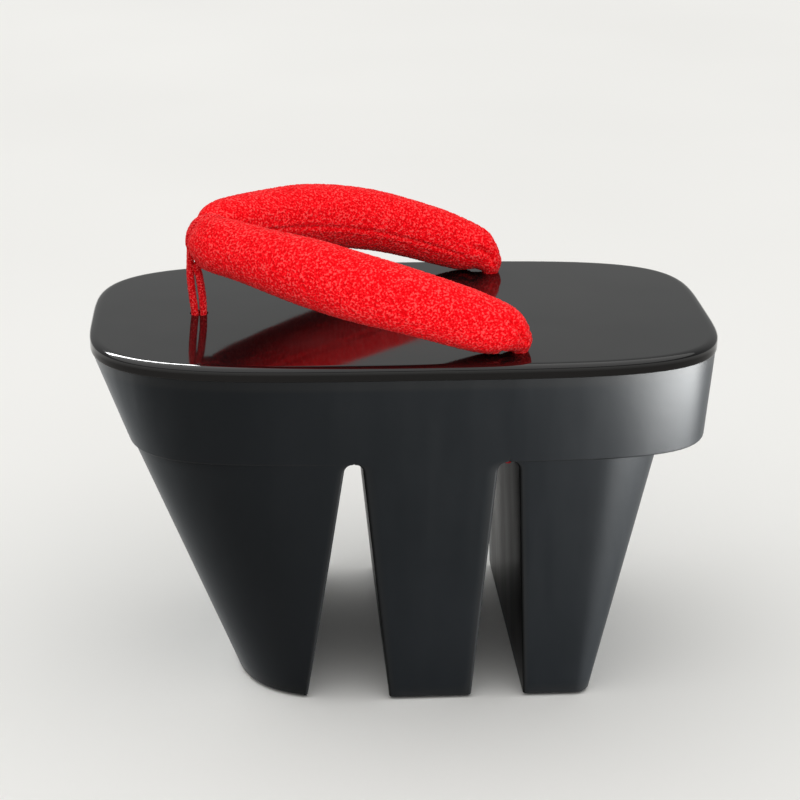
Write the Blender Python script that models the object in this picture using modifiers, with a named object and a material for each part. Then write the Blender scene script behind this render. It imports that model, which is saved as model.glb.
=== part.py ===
"""Tall geta sandal: lacquered deck, body on three tapering teeth, padded thong strap.

Metres. +X points to the toe, +Y to the wearer's left, +Z up.
The origin lies on the floor under the middle of the deck.
"""
import bmesh
import bpy
from math import cos, pi, radians, sin, sqrt
from mathutils import Matrix, Vector

NAME = "geta_sandal"

# Deck board
DECK_LENGTH = 0.250
DECK_WIDTH = 0.135
DECK_TOP = 0.1455
DECK_THICK = 0.0056
RIM_RADIUS = 0.0015
EDGE_RADIUS = 0.0006
DECK_TOE_SQUARE = 3.80
DECK_HEEL_SQUARE = 4.25

# Body: the block under the deck and the outline that its teeth carry on
BODY_INSET = 0.0005
BLOCK_HEIGHT = 0.0344
BLOCK_TOE_SLOPE = 0.395
BLOCK_HEEL_SLOPE = 0.108
BLOCK_TOE_SQUARE = 4.42
BLOCK_HEEL_SQUARE = 5.06
FRONT_TOOTH_SQUARE = 3.80
FLOOR_TOE_SQUARE = 3.40
FLOOR_WIDTH = 0.1232

# Teeth, as places along X at the block and at the floor
FRONT_TOOTH_REAR_TOP = 0.0258
FRONT_TOOTH_REAR_FLOOR = 0.0409
MIDDLE_TOOTH_FRONT_TOP = 0.0192
MIDDLE_TOOTH_FRONT_FLOOR = 0.0077
MIDDLE_TOOTH_REAR_TOP = -0.0337
MIDDLE_TOOTH_REAR_FLOOR = -0.0253
REAR_TOOTH_FRONT_TOP = -0.0416
REAR_TOOTH_FRONT_FLOOR = -0.0466
REAR_TOOTH_REAR_TOP = -0.1010
REAR_TOOTH_REAR_FLOOR = -0.0737
REAR_CORNER_TOP = 0.028
REAR_CORNER_FLOOR = 0.006
REAR_TOOTH_SIDE_INSET = 0.0012
TOOTH_EDGE = 0.0012

# Pads under the teeth
PAD_THICK = 0.0012
PAD_INSET = 0.003

# Bores for the strap, and the recess that holds the toe knot
TOE_HOLE_X = 0.082
REAR_HOLE_X = -0.042
REAR_HOLE_Y = 0.0503
TOE_BORE_RADIUS = 0.0046
REAR_BORE_RADIUS = 0.0036
KNOT_RECESS_RADIUS = 0.011
KNOT_RECESS_DROP = 0.0215
KNOT_RECESS_BEHIND = 0.012

# Strap
STRAP_RADIUS = 0.0136
STRAP_LIFT = 0.0220
CROTCH_X = 0.0767
CROTCH_DEPTH = 0.0067
CROTCH_HEIGHT = 0.0079

# Toe loop
LOOP_THICK = 0.0029
LOOP_WIDTH = 0.0058
LOOP_EDGE = 0.0011
POST_DEPTH = 0.0066
SLIT_BOTTOM = 0.0022
SLIT_WIDTH = 0.0012
LOOP_JOIN_ANGLE = 284
EYE_FRONT_ANGLE = -33
EYE_REAR_ANGLE = 288

# Knots
TOE_KNOT_RADIUS = 0.0062
REAR_KNOT_WIDTH = 0.0100
REAR_KNOT_HEIGHT = 0.0054
KNOT_RIDGE = 0.07

# Clearance between pieces that meet
GAP = 0.0003

# Fineness of the curved forms
OUTLINE_STEPS = 72
TOOTH_STEPS = 32
RIM_STEPS = 3
FLARE_STEPS = 4
STRAP_SIDES = 20
STRAP_SPANS = 3
BORE_SIDES = 20
RECESS_SIDES = 32
LOOP_STEPS = 26
CORNER_STEPS = 2
KNOT_LEVELS = 9
KNOT_SIDES = 18
KNOT_WINDINGS = 3

# Levels worked out from the sizes
BLOCK_TOP = DECK_TOP - DECK_THICK - GAP
BLOCK_BOTTOM = BLOCK_TOP - BLOCK_HEIGHT
TOOTH_TOP = BLOCK_BOTTOM - GAP
TOOTH_BOTTOM = PAD_THICK + GAP
FRONT_GAP_TOP = FRONT_TOOTH_REAR_TOP - MIDDLE_TOOTH_FRONT_TOP
REAR_GAP_TOP = MIDDLE_TOOTH_REAR_TOP - REAR_TOOTH_FRONT_TOP
REAR_GAP_X = (MIDDLE_TOOTH_REAR_TOP + REAR_TOOTH_FRONT_TOP) / 2

# One row for each section of an arm, from the rear hole to the toe.
# along: share of the way from the rear holes to the toe crotch
# out: share of the rear holes' distance from the middle
# lift: underside above the deck, as a share of STRAP_LIFT
# hug: height of the centre over that underside, as a share of the section's radius
# across, up: the section's two radii, as shares of STRAP_RADIUS
STRAP_SECTIONS = (
    # along   out    lift   hug  across   up
    (0.002, 1.004, 0.000, 0.42, 0.390, 0.390),
    (0.034, 1.025, 0.000, 0.96, 0.600, 0.590),
    (0.088, 1.050, 0.005, 1.00, 0.740, 0.740),
    (0.168, 1.058, 0.075, 1.00, 0.868, 0.868),
    (0.284, 1.046, 0.255, 1.00, 0.915, 0.900),
    (0.418, 1.010, 0.427, 1.00, 0.960, 0.945),
    (0.552, 0.915, 0.560, 1.00, 1.000, 0.980),
    (0.686, 0.755, 0.695, 1.00, 0.970, 0.975),
    (0.803, 0.573, 0.830, 1.00, 0.890, 0.890),
    (0.903, 0.391, 0.930, 1.00, 0.815, 0.830),
    (0.966, 0.264, 0.975, 1.00, 0.765, 0.785),
    (1.000, 0.163, 0.993, 1.00, 0.600, 0.720),
)

# The toe post's sides between the deck and the loop.
# rise: height above the deck, as a share of STRAP_LIFT
# lean: how far the post has leaned to the toe, as a share of its whole lean
POST_REAR = (
    # rise  lean
    (0.50, 0.35),
    (0.22, 0.08),
)
POST_FRONT = (
    # rise  lean
    (0.30, 0.40),
    (0.75, 0.85),
)
SLIT_MIDDLE = (0.55, 0.45)


# Mesh helpers

def clear_scene():
    for old in list(bpy.data.objects):
        bpy.data.objects.remove(old, do_unlink=True)


def collection(name):
    group = bpy.data.collections.new(name)
    bpy.context.scene.collection.children.link(group)
    return group


def material(name, color, roughness, metallic=0.0):
    mat = bpy.data.materials.new(name)
    mat.use_nodes = True
    shader = mat.node_tree.nodes["Principled BSDF"]
    shader.inputs["Base Color"].default_value = (*color, 1.0)
    shader.inputs["Roughness"].default_value = roughness
    shader.inputs["Metallic"].default_value = metallic
    return mat


def add_object(name, mesh, group, mat=None, smooth_angle=35):
    piece = bpy.data.objects.new(name, mesh)
    group.objects.link(piece)
    if mat:
        mesh.materials.append(mat)
    mesh.shade_smooth()
    mesh.set_sharp_from_angle(angle=radians(smooth_angle))
    return piece


def loft(name, rings, close_ends=True):
    """Join rings of equal length into a skin, with a face on each end ring."""
    bm = bmesh.new()
    rows = [[bm.verts.new(point) for point in ring] for ring in rings]
    for low, high in zip(rows, rows[1:]):
        for i in range(len(low)):
            j = (i + 1) % len(low)
            bm.faces.new((low[i], low[j], high[j], high[i]))
    if close_ends:
        bm.faces.new(list(reversed(rows[0])))
        bm.faces.new(rows[-1])
    bmesh.ops.recalc_face_normals(bm, faces=bm.faces)
    mesh = bpy.data.meshes.new(name)
    bm.to_mesh(mesh)
    bm.free()
    return mesh


def cylinder_cutter(name, radius, start, end, sides, group):
    """A round cutter from one point to another."""
    start, end = Vector(start), Vector(end)
    way = end - start
    bm = bmesh.new()
    bmesh.ops.create_cone(bm, cap_ends=True, segments=sides, radius1=radius,
                          radius2=radius, depth=way.length)
    turn = way.to_track_quat("Z", "Y").to_matrix().to_4x4()
    bm.transform(Matrix.Translation((start + end) / 2) @ turn)
    mesh = bpy.data.meshes.new(name)
    bm.to_mesh(mesh)
    bm.free()
    cutter = bpy.data.objects.new(name, mesh)
    group.objects.link(cutter)
    cutter.hide_render = True
    cutter.display_type = "WIRE"
    return cutter


def cut(piece, cutter):
    boolean = piece.modifiers.new(cutter.name, "BOOLEAN")
    boolean.operation = "DIFFERENCE"
    boolean.solver = "EXACT"
    boolean.object = cutter


def mix(low, high, share):
    return low + (high - low) * share


def power(value, exponent):
    """A signed power, for superellipse outlines."""
    return abs(value) ** exponent * (1 if value >= 0 else -1)


# Outlines of the deck and the body, seen from above

def outline(toe, heel, half_width, toe_square, heel_square, z, steps=OUTLINE_STEPS):
    """A superellipse with its own length and squareness at the toe and the heel."""
    ring = []
    for i in range(steps):
        angle = 2 * pi * i / steps
        square = toe_square if cos(angle) >= 0 else heel_square
        reach = toe if cos(angle) >= 0 else heel
        x = reach * power(cos(angle), 2 / square)
        y = half_width * power(sin(angle), 2 / square)
        ring.append(Vector((x, y, z)))
    return ring


def deck_ring(inset, z):
    half = DECK_LENGTH / 2 - inset
    return outline(half, half, DECK_WIDTH / 2 - inset, DECK_TOE_SQUARE, DECK_HEEL_SQUARE, z)


def body_half_width(z):
    """The sides lean in evenly from the deck to the floor."""
    return mix(FLOOR_WIDTH / 2, DECK_WIDTH / 2 - BODY_INSET, z / BLOCK_TOP)


def body_toe(z):
    """The toe end slopes back at one angle from the deck to the floor."""
    return DECK_LENGTH / 2 - BODY_INSET - BLOCK_TOE_SLOPE * (BLOCK_TOP - z)


def body_heel(z):
    return DECK_LENGTH / 2 - BODY_INSET - BLOCK_HEEL_SLOPE * (BLOCK_TOP - z)


def block_ring(z):
    share = (BLOCK_TOP - z) / BLOCK_HEIGHT
    toe_square = mix(DECK_TOE_SQUARE, BLOCK_TOE_SQUARE, share)
    heel_square = mix(DECK_HEEL_SQUARE, BLOCK_HEEL_SQUARE, share)
    return outline(body_toe(z), body_heel(z), body_half_width(z), toe_square, heel_square, z)


# Tooth sections, seen from above

def depth_share(z):
    """0 at the block's underside, 1 at the floor."""
    return (BLOCK_BOTTOM - z) / BLOCK_BOTTOM


def flare(gap_width, z):
    """How far a tooth swells into the gap beside it, so that the gap ends in a round roof."""
    radius = (gap_width - GAP) / 2
    depth = TOOTH_TOP - z
    if depth >= radius:
        return 0.0
    return radius - sqrt(radius ** 2 - (radius - depth) ** 2)


def flare_levels(gap_width):
    radius = (gap_width - GAP) / 2
    turns = [pi / 2 * k / FLARE_STEPS for k in range(FLARE_STEPS + 1)]
    return [TOOTH_TOP - radius * (1 - cos(turn)) for turn in turns]


def arc(x, y, radius_x, radius_y, start, end, steps):
    points = []
    for i in range(steps + 1):
        angle = radians(mix(start, end, i / steps))
        points.append((x + radius_x * cos(angle), y + radius_y * sin(angle)))
    return points


def front_tooth_ring(z, inset=0.0):
    """The body's toe outline with rounder corners, cut off square at the tooth's rear face."""
    share = depth_share(z)
    toe = body_toe(z) - inset
    half = body_half_width(z) - inset
    rear = mix(FRONT_TOOTH_REAR_TOP, FRONT_TOOTH_REAR_FLOOR, share) + inset
    rear -= flare(FRONT_GAP_TOP, z)
    square = mix(FRONT_TOOTH_SQUARE, FLOOR_TOE_SQUARE, share)
    lean = 1 - (rear / toe) ** square
    side = half * lean ** (1 / square)
    points = [(rear, side - TOOTH_EDGE), (rear + TOOTH_EDGE, side)]
    first = (1 - ((rear + TOOTH_EDGE) / toe) ** square) ** (1 / square)
    for i in range(1, TOOTH_STEPS):
        bend = mix(1.0, -1.0, i / TOOTH_STEPS)
        width = first * power(sin(bend * pi / 2), 1 / 2)
        along = toe * (1 - abs(width) ** square) ** (1 / square)
        points.append((along, half * width))
    points += [(rear + TOOTH_EDGE, -side), (rear, TOOTH_EDGE - side)]
    return [Vector((x, y, z)) for x, y in points]


def middle_tooth_ring(z, inset=0.0):
    share = depth_share(z)
    half = body_half_width(z) - inset
    front = mix(MIDDLE_TOOTH_FRONT_TOP, MIDDLE_TOOTH_FRONT_FLOOR, share) - inset
    rear = mix(MIDDLE_TOOTH_REAR_TOP, MIDDLE_TOOTH_REAR_FLOOR, share) + inset
    front += flare(FRONT_GAP_TOP, z)
    rear -= flare(REAR_GAP_TOP, z)
    edge = TOOTH_EDGE
    points = arc(front - edge, half - edge, edge, edge, 0, 90, CORNER_STEPS)
    points += arc(rear + edge, half - edge, edge, edge, 90, 180, CORNER_STEPS)
    points += arc(rear + edge, edge - half, edge, edge, 180, 270, CORNER_STEPS)
    points += arc(front - edge, edge - half, edge, edge, 270, 360, CORNER_STEPS)
    return [Vector((x, y, z)) for x, y in points]


def rear_tooth_ring(z, inset=0.0):
    """Flat sides, set in at the top so that they stay under the block's curving heel."""
    share = depth_share(z)
    half = body_half_width(z) - mix(REAR_TOOTH_SIDE_INSET, 0.0, share) - inset
    front = mix(REAR_TOOTH_FRONT_TOP, REAR_TOOTH_FRONT_FLOOR, share) - inset
    rear = mix(REAR_TOOTH_REAR_TOP, REAR_TOOTH_REAR_FLOOR, share) + inset
    corner = mix(REAR_CORNER_TOP, REAR_CORNER_FLOOR, share)
    front += flare(REAR_GAP_TOP, z)
    edge = TOOTH_EDGE
    steps = TOOTH_STEPS // 4
    points = arc(front - edge, half - edge, edge, edge, 0, 90, CORNER_STEPS)
    points += arc(rear + corner, half - corner, corner, corner, 90, 180, steps)
    points += arc(rear + corner, corner - half, corner, corner, 180, 270, steps)
    points += arc(front - edge, edge - half, edge, edge, 270, 360, CORNER_STEPS)
    return [Vector((x, y, z)) for x, y in points]


def tooth(name, ring, gap_widths, group, mat):
    levels = {TOOTH_TOP, TOOTH_BOTTOM}
    for width in gap_widths:
        levels.update(flare_levels(width))
    rings = [ring(z) for z in sorted(levels)]
    return add_object(name, loft(name, rings), group, mat)


def pad(name, ring, group, mat):
    """A thin pad in the tooth's own outline, a little inside it."""
    foot = ring(TOOTH_BOTTOM, PAD_INSET)
    rings = [[Vector((p.x, p.y, z)) for p in foot] for z in (0.0, PAD_THICK)]
    return add_object(name, loft(name, rings), group, mat)


# Deck and block

def deck_board(group, mat):
    bottom = DECK_TOP - DECK_THICK
    rings = [deck_ring(EDGE_RADIUS, bottom), deck_ring(0.0, bottom + EDGE_RADIUS)]
    for i in range(RIM_STEPS + 1):
        turn = pi / 2 * i / RIM_STEPS
        inset = RIM_RADIUS * (1 - cos(turn))
        rings.append(deck_ring(inset, DECK_TOP - RIM_RADIUS * (1 - sin(turn))))
    return add_object("deck_board", loft("deck_board", rings), group, mat)


def sole_block(group, mat):
    rings = [block_ring(BLOCK_BOTTOM), block_ring(BLOCK_TOP)]
    return add_object("sole_block", loft("sole_block", rings), group, mat)


# Strap

def smooth_row(rows, place):
    """A row between the table's rows, on a curve through all of them."""
    k = min(int(place), len(rows) - 2)
    t = place - k
    a = rows[max(k - 1, 0)]
    b = rows[k]
    c = rows[k + 1]
    d = rows[min(k + 2, len(rows) - 1)]
    out = []
    for p, q, r, s in zip(a, b, c, d):
        bend = 2 * p - 5 * q + 4 * r - s
        twist = 3 * q - p - 3 * r + s
        out.append(q + (r - p) * t / 2 + bend * t * t / 2 + twist * t ** 3 / 2)
    return out


def strap_rows():
    """Centre and radii of each section of the left arm, in metres."""
    rows = []
    for along, out, lift, hug, across, up in STRAP_SECTIONS:
        x = mix(REAR_HOLE_X, CROTCH_X, along)
        under = DECK_TOP + GAP + lift * STRAP_LIFT
        rows.append((x, out * REAR_HOLE_Y, under + hug * up * STRAP_RADIUS,
                     across * STRAP_RADIUS, up * STRAP_RADIUS))
    return rows


def section(center, heading, across, up, side=None):
    """An oval ring square to the strap's way; its side axis stays level."""
    way = heading.normalized()
    if side is None:
        side = way.cross(Vector((0, 0, 1))).normalized()
    rise = side.cross(way)
    ring = []
    for i in range(STRAP_SIDES):
        angle = 2 * pi * i / STRAP_SIDES
        ring.append(center + side * across * cos(angle) + rise * up * sin(angle))
    return ring


def arm_rings():
    """Rings of the left arm, from its tail in the rear bore to the middle plane."""
    rows = strap_rows()
    places = [i / STRAP_SPANS for i in range((len(rows) - 1) * STRAP_SPANS + 1)]
    fine = [smooth_row(rows, place) for place in places]
    centers = [Vector(row[:3]) for row in fine]
    crotch_z = DECK_TOP + GAP + STRAP_LIFT + CROTCH_HEIGHT
    groove = Vector((CROTCH_X, LOOP_WIDTH / 2 + 2 * GAP, crotch_z))
    ahead = centers[1:] + [groove]
    behind = [Vector((REAR_HOLE_X, REAR_HOLE_Y, DECK_TOP - STRAP_RADIUS / 2))] + centers[:-1]
    neck = REAR_BORE_RADIUS - GAP
    mouth = Vector((REAR_HOLE_X, REAR_HOLE_Y, DECK_TOP + GAP))
    exit_point = Vector((REAR_GAP_X, REAR_HOLE_Y, TOOTH_TOP))
    down = (mouth - exit_point).normalized()
    outside = Vector((0, -1, 0))
    rings = [section(point, down, neck, neck, outside) for point in (exit_point, mouth)]
    for center, nxt, last, row in zip(centers, ahead, behind, fine):
        rings.append(section(center, nxt - last, row[3], row[4]))
    inward = Vector((0, -1, 0))
    rings.append(section(groove, inward, CROTCH_DEPTH, CROTCH_HEIGHT))
    rings.append(section(Vector((CROTCH_X, 0.0, crotch_z)), inward, CROTCH_DEPTH, CROTCH_HEIGHT))
    return rings


def strap(group, mat):
    rings = arm_rings()
    mesh = loft("strap", rings, close_ends=False)
    bm = bmesh.new()
    bm.from_mesh(mesh)
    bm.verts.ensure_lookup_table()
    bm.faces.new(bm.verts[:STRAP_SIDES])
    bmesh.ops.recalc_face_normals(bm, faces=bm.faces)
    bm.to_mesh(mesh)
    bm.free()
    piece = add_object("strap", mesh, group, mat, 60)
    mirror = piece.modifiers.new("mirror", "MIRROR")
    mirror.use_axis = (False, True, False)
    mirror.merge_threshold = 0.00005
    return piece


# Toe loop: a flat outline in the middle plane, as thick as the loop is wide

def oval_points(grow, start, end, steps):
    z = DECK_TOP + GAP + STRAP_LIFT + CROTCH_HEIGHT
    return arc(CROTCH_X, z, CROTCH_DEPTH + grow, CROTCH_HEIGHT + grow, start, end, steps)


def post_point(offset, rise, lean):
    """A point beside the post's middle line, which leans to the toe as it rises."""
    whole = CROTCH_X + CROTCH_DEPTH + GAP + LOOP_THICK - POST_DEPTH / 2 - TOE_HOLE_X
    return (TOE_HOLE_X + offset + lean * whole, DECK_TOP + rise * STRAP_LIFT)


def loop_outline():
    tail = TOOTH_TOP - KNOT_RECESS_DROP + KNOT_RECESS_RADIUS
    half = POST_DEPTH / 2
    points = oval_points(GAP + LOOP_THICK, 0, LOOP_JOIN_ANGLE, LOOP_STEPS)
    points += [post_point(-half, rise, lean) for rise, lean in POST_REAR]
    points.append((TOE_HOLE_X - half, DECK_TOP))
    points.append((TOE_HOLE_X - half, tail))
    points.append((TOE_HOLE_X + half, tail))
    points.append((TOE_HOLE_X + half, DECK_TOP))
    points += [post_point(half, rise, lean) for rise, lean in POST_FRONT]
    return points


def loop_eye():
    """The strap's own section with a slit under it that parts the two legs of the loop."""
    points = oval_points(GAP, EYE_FRONT_ANGLE, EYE_REAR_ANGLE, LOOP_STEPS)
    width = SLIT_WIDTH / 2
    points.append(post_point(-width, *SLIT_MIDDLE))
    points.append((TOE_HOLE_X - width / 2, DECK_TOP + SLIT_BOTTOM))
    points.append((TOE_HOLE_X + width / 2, DECK_TOP + SLIT_BOTTOM))
    points.append(post_point(width, *SLIT_MIDDLE))
    return points


def toe_loop(group, mat):
    flat = bpy.data.curves.new("toe_loop", "CURVE")
    flat.dimensions = "2D"
    flat.fill_mode = "BOTH"
    flat.extrude = LOOP_WIDTH / 2
    for points in (loop_outline(), loop_eye()):
        spline = flat.splines.new("POLY")
        spline.points.add(len(points) - 1)
        for slot, (x, z) in zip(spline.points, points):
            slot.co = (x, z, 0, 1)
        spline.use_cyclic_u = True
    guide = bpy.data.objects.new("toe_loop_outline", flat)
    group.objects.link(guide)
    guide.rotation_euler = (pi / 2, 0, 0)
    bpy.context.view_layer.update()
    evaluated = guide.evaluated_get(bpy.context.evaluated_depsgraph_get())
    mesh = bpy.data.meshes.new_from_object(evaluated)
    mesh.transform(guide.matrix_world)
    bpy.data.objects.remove(guide, do_unlink=True)
    bm = bmesh.new()
    bm.from_mesh(mesh)
    bmesh.ops.remove_doubles(bm, verts=bm.verts, dist=0.00002)
    bmesh.ops.recalc_face_normals(bm, faces=bm.faces)
    bm.to_mesh(mesh)
    bm.free()
    mesh.name = "toe_loop"
    mesh.materials.clear()
    piece = add_object("toe_loop", mesh, group, mat)
    bevel = piece.modifiers.new("soft edges", "BEVEL")
    bevel.width = LOOP_EDGE
    bevel.segments = 2
    bevel.limit_method = "ANGLE"
    bevel.angle_limit = radians(50)
    return piece


# Knots: rounded lumps with the slanting ridges of wound cord

def knot(name, center, half_x, half_y, half_z, group, mat):
    rings = []
    for k in range(1, KNOT_LEVELS + 1):
        tilt = pi * k / (KNOT_LEVELS + 1)
        ring = []
        for i in range(KNOT_SIDES):
            turn = 2 * pi * i / KNOT_SIDES
            ridge = 1 - KNOT_RIDGE * (1 - cos(KNOT_WINDINGS * turn + 2 * tilt)) / 2
            x = half_x * sin(tilt) * cos(turn) * ridge
            y = half_y * sin(tilt) * sin(turn) * ridge
            ring.append(Vector(center) + Vector((x, y, half_z * cos(tilt))))
        rings.append(ring)
    return add_object(name, loft(name, rings), group, mat, 60)


def build():
    clear_scene()
    parts = collection(NAME)
    cutters = collection(NAME + "_cutters")

    lacquer = material("deck_lacquer", (0.012, 0.012, 0.013), 0.12)
    satin = material("body_lacquer", (0.012, 0.014, 0.016), 0.38)
    rubber = material("pad_rubber", (0.02, 0.02, 0.02), 0.85)
    plush = material("strap_plush", (0.80, 0.012, 0.024), 0.95)
    cloth = material("loop_cloth", (0.70, 0.010, 0.022), 0.95)
    cord = material("knot_cord", (0.62, 0.010, 0.020), 0.90)

    deck = deck_board(parts, lacquer)
    block = sole_block(parts, satin)
    front = tooth("front_tooth", front_tooth_ring, (FRONT_GAP_TOP,), parts, satin)
    gaps = (FRONT_GAP_TOP, REAR_GAP_TOP)
    middle = tooth("middle_tooth", middle_tooth_ring, gaps, parts, satin)
    rear = tooth("rear_tooth", rear_tooth_ring, (REAR_GAP_TOP,), parts, satin)
    pad("front_pad", front_tooth_ring, parts, rubber)
    pad("middle_pad", middle_tooth_ring, parts, rubber)
    pad("rear_pad", rear_tooth_ring, parts, rubber)
    strap(parts, plush)
    toe_loop(parts, cloth)

    recess_z = TOOTH_TOP - KNOT_RECESS_DROP
    over = 2 * RIM_RADIUS
    toe_bore = cylinder_cutter("toe_bore", TOE_BORE_RADIUS,
                               (TOE_HOLE_X, 0, recess_z),
                               (TOE_HOLE_X, 0, DECK_TOP + over), BORE_SIDES, cutters)
    recess = cylinder_cutter("toe_knot_recess", KNOT_RECESS_RADIUS,
                             (TOE_HOLE_X - KNOT_RECESS_BEHIND, 0, recess_z),
                             (DECK_LENGTH / 2, 0, recess_z), RECESS_SIDES, cutters)
    for piece in (deck, block, front):
        cut(piece, toe_bore)
    cut(front, recess)

    way = Vector((REAR_GAP_X - REAR_HOLE_X, 0, TOOTH_TOP - DECK_TOP))
    beyond = way * (STRAP_RADIUS / way.length)
    for side, y in (("left", REAR_HOLE_Y), ("right", -REAR_HOLE_Y)):
        mouth = Vector((REAR_HOLE_X, y, DECK_TOP))
        bore = cylinder_cutter(side + "_bore", REAR_BORE_RADIUS, mouth - beyond,
                               mouth + way + beyond, BORE_SIDES, cutters)
        for piece in (deck, block, middle, rear):
            cut(piece, bore)
        knot_z = TOOTH_TOP - GAP - REAR_KNOT_HEIGHT / 2
        roof = (REAR_GAP_TOP - GAP) / 2
        knot(side + "_knot", (REAR_GAP_X, y, knot_z), roof - GAP, REAR_KNOT_WIDTH / 2,
             REAR_KNOT_HEIGHT / 2, parts, cord)

    toe_knot_z = recess_z + KNOT_RECESS_RADIUS - GAP - TOE_KNOT_RADIUS
    knot("front_knot", (TOE_HOLE_X, 0, toe_knot_z), TOE_KNOT_RADIUS, TOE_KNOT_RADIUS,
         TOE_KNOT_RADIUS, parts, cord)


build()
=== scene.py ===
"""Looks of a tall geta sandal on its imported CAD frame: lacquer, carved body, plush strap.

Metres, +X to the toe, +Y left, +Z up, as in the frame.
"""
from math import cos, pi, radians, sin

import bmesh
import bpy
import numpy as np
from mathutils import Matrix, Vector, noise


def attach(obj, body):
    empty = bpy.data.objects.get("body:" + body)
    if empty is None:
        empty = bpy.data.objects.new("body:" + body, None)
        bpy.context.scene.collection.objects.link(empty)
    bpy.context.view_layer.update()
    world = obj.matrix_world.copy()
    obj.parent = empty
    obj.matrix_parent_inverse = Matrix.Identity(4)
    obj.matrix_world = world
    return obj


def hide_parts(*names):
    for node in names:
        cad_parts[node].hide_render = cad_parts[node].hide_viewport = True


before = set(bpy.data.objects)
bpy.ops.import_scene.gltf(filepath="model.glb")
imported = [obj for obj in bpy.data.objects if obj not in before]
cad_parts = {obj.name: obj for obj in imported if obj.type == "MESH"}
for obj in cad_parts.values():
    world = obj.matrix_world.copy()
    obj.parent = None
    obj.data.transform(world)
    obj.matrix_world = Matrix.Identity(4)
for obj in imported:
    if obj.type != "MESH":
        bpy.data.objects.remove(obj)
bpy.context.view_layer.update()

# Sizes of the CAD frame, repeated from its source
DECK_LENGTH = 0.250
DECK_WIDTH = 0.135
DECK_TOP = 0.1455
DECK_THICK = 0.0056
DECK_TOE_SQUARE = 3.80
DECK_HEEL_SQUARE = 4.25
BODY_INSET = 0.0005
BLOCK_TOE_SLOPE = 0.395
BLOCK_HEEL_SLOPE = 0.108
BLOCK_TOE_SQUARE = 4.42
BLOCK_HEEL_SQUARE = 5.06
FRONT_TOOTH_SQUARE = 3.80
FLOOR_TOE_SQUARE = 3.40
FLOOR_WIDTH = 0.1232
FRONT_TOOTH_REAR = (0.0258, 0.0409)
MIDDLE_TOOTH_FRONT = (0.0192, 0.0077)
MIDDLE_TOOTH_REAR = (-0.0337, -0.0253)
REAR_TOOTH_FRONT = (-0.0416, -0.0466)
REAR_TOOTH_REAR = (-0.1010, -0.0737)
REAR_CORNER = (0.028, 0.006)
REAR_SIDE_INSET = 0.0012
TOOTH_EDGE = 0.0012
PAD_THICK = 0.0012
GAP = 0.0003
BLOCK_TOP = DECK_TOP - DECK_THICK - GAP
BLOCK_HEIGHT = 0.0344
BLOCK_BOTTOM = BLOCK_TOP - BLOCK_HEIGHT
TOOTH_TOP = BLOCK_BOTTOM - GAP
TOE_HOLE_X = 0.082
REAR_HOLE_X = -0.042
REAR_HOLE_Y = 0.0503
TOE_BORE_RADIUS = 0.0046
REAR_BORE_RADIUS = 0.0036
KNOT_RECESS_RADIUS = 0.011
KNOT_RECESS_DROP = 0.0215
KNOT_RECESS_Z = TOOTH_TOP - KNOT_RECESS_DROP
KNOT_RECESS_BEHIND = 0.012
REAR_KNOT_WIDTH = 0.0100
REAR_KNOT_HEIGHT = 0.0054
TOE_KNOT_RADIUS = 0.0062
FRONT_GAP = (FRONT_TOOTH_REAR[0], MIDDLE_TOOTH_FRONT[0])
REAR_GAP = (MIDDLE_TOOTH_REAR[0], REAR_TOOTH_FRONT[0])
FRONT_GAP_X = sum(FRONT_GAP) / 2
REAR_GAP_X = sum(REAR_GAP) / 2
STRAP_RADIUS = 0.0136
STRAP_LIFT = 0.0220
CROTCH_X = 0.0767
CROTCH_DEPTH = 0.0067
CROTCH_HEIGHT = 0.0079
LOOP_THICK = 0.0029
LOOP_WIDTH = 0.0058
POST_DEPTH = 0.0066
STRAP_SECTIONS = (
    # along   out    lift   hug  across   up
    (0.002, 1.004, 0.000, 0.42, 0.390, 0.390),
    (0.034, 1.025, 0.000, 0.96, 0.600, 0.590),
    (0.088, 1.050, 0.005, 1.00, 0.740, 0.740),
    (0.168, 1.058, 0.075, 1.00, 0.868, 0.868),
    (0.284, 1.046, 0.255, 1.00, 0.915, 0.900),
    (0.418, 1.010, 0.427, 1.00, 0.960, 0.945),
    (0.552, 0.915, 0.560, 1.00, 1.000, 0.980),
    (0.686, 0.755, 0.695, 1.00, 0.970, 0.975),
    (0.803, 0.573, 0.830, 1.00, 0.890, 0.890),
    (0.903, 0.391, 0.930, 1.00, 0.815, 0.830),
    (0.966, 0.264, 0.975, 1.00, 0.765, 0.785),
    (1.000, 0.163, 0.993, 1.00, 0.600, 0.720),
)

# Looks of the carved and lacquered parts
RIM_WIDE = 0.0034
RIM_HIGH = 0.0017
RIM_STEPS = 12
WALL_STEPS = 4
EDGE_ROUND = 0.0006
EDGE_STEPS = 4
UNDERSIDE_RINGS = (0.0040, 0.0010)
TOP_RINGS = (0.0040, 0.0064)
TOE_MOUTH_RADIUS = 0.0037
BORE_OVER = 0.003
LIP_ROUND = 0.0005
LIP_STEP = 0.00015
FOOT_ROUND = 0.0005
FOOT_STEPS = 3
PAD_CLEAR = 0.00005
DECK_CLEAR = 0.00003
ROOF_DROP = 0.0042
TOOTH_LEVELS = 16
ROOF_LEVELS = 9
LIP_RISES = (0.0, 0.00004, 0.0001, 0.0002, 0.00035, 0.0005, 0.0007, 0.0009, TOOTH_EDGE)
BLOCK_LEVELS = 12
OUTLINE_STEPS = 320
TOE_STEPS = 120
CORNER_STEPS = 5
FACE_STEPS = 8
SIDE_STEPS = 12
HEEL_CORNER_STEPS = 16
TOE_LIP_RANGE = (0.72, 0.99)
WEAR_BEND = 60.0
SHARP_ANGLE = 40
MERGE = 0.00001
FINE_MERGE = 0.000001

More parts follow.
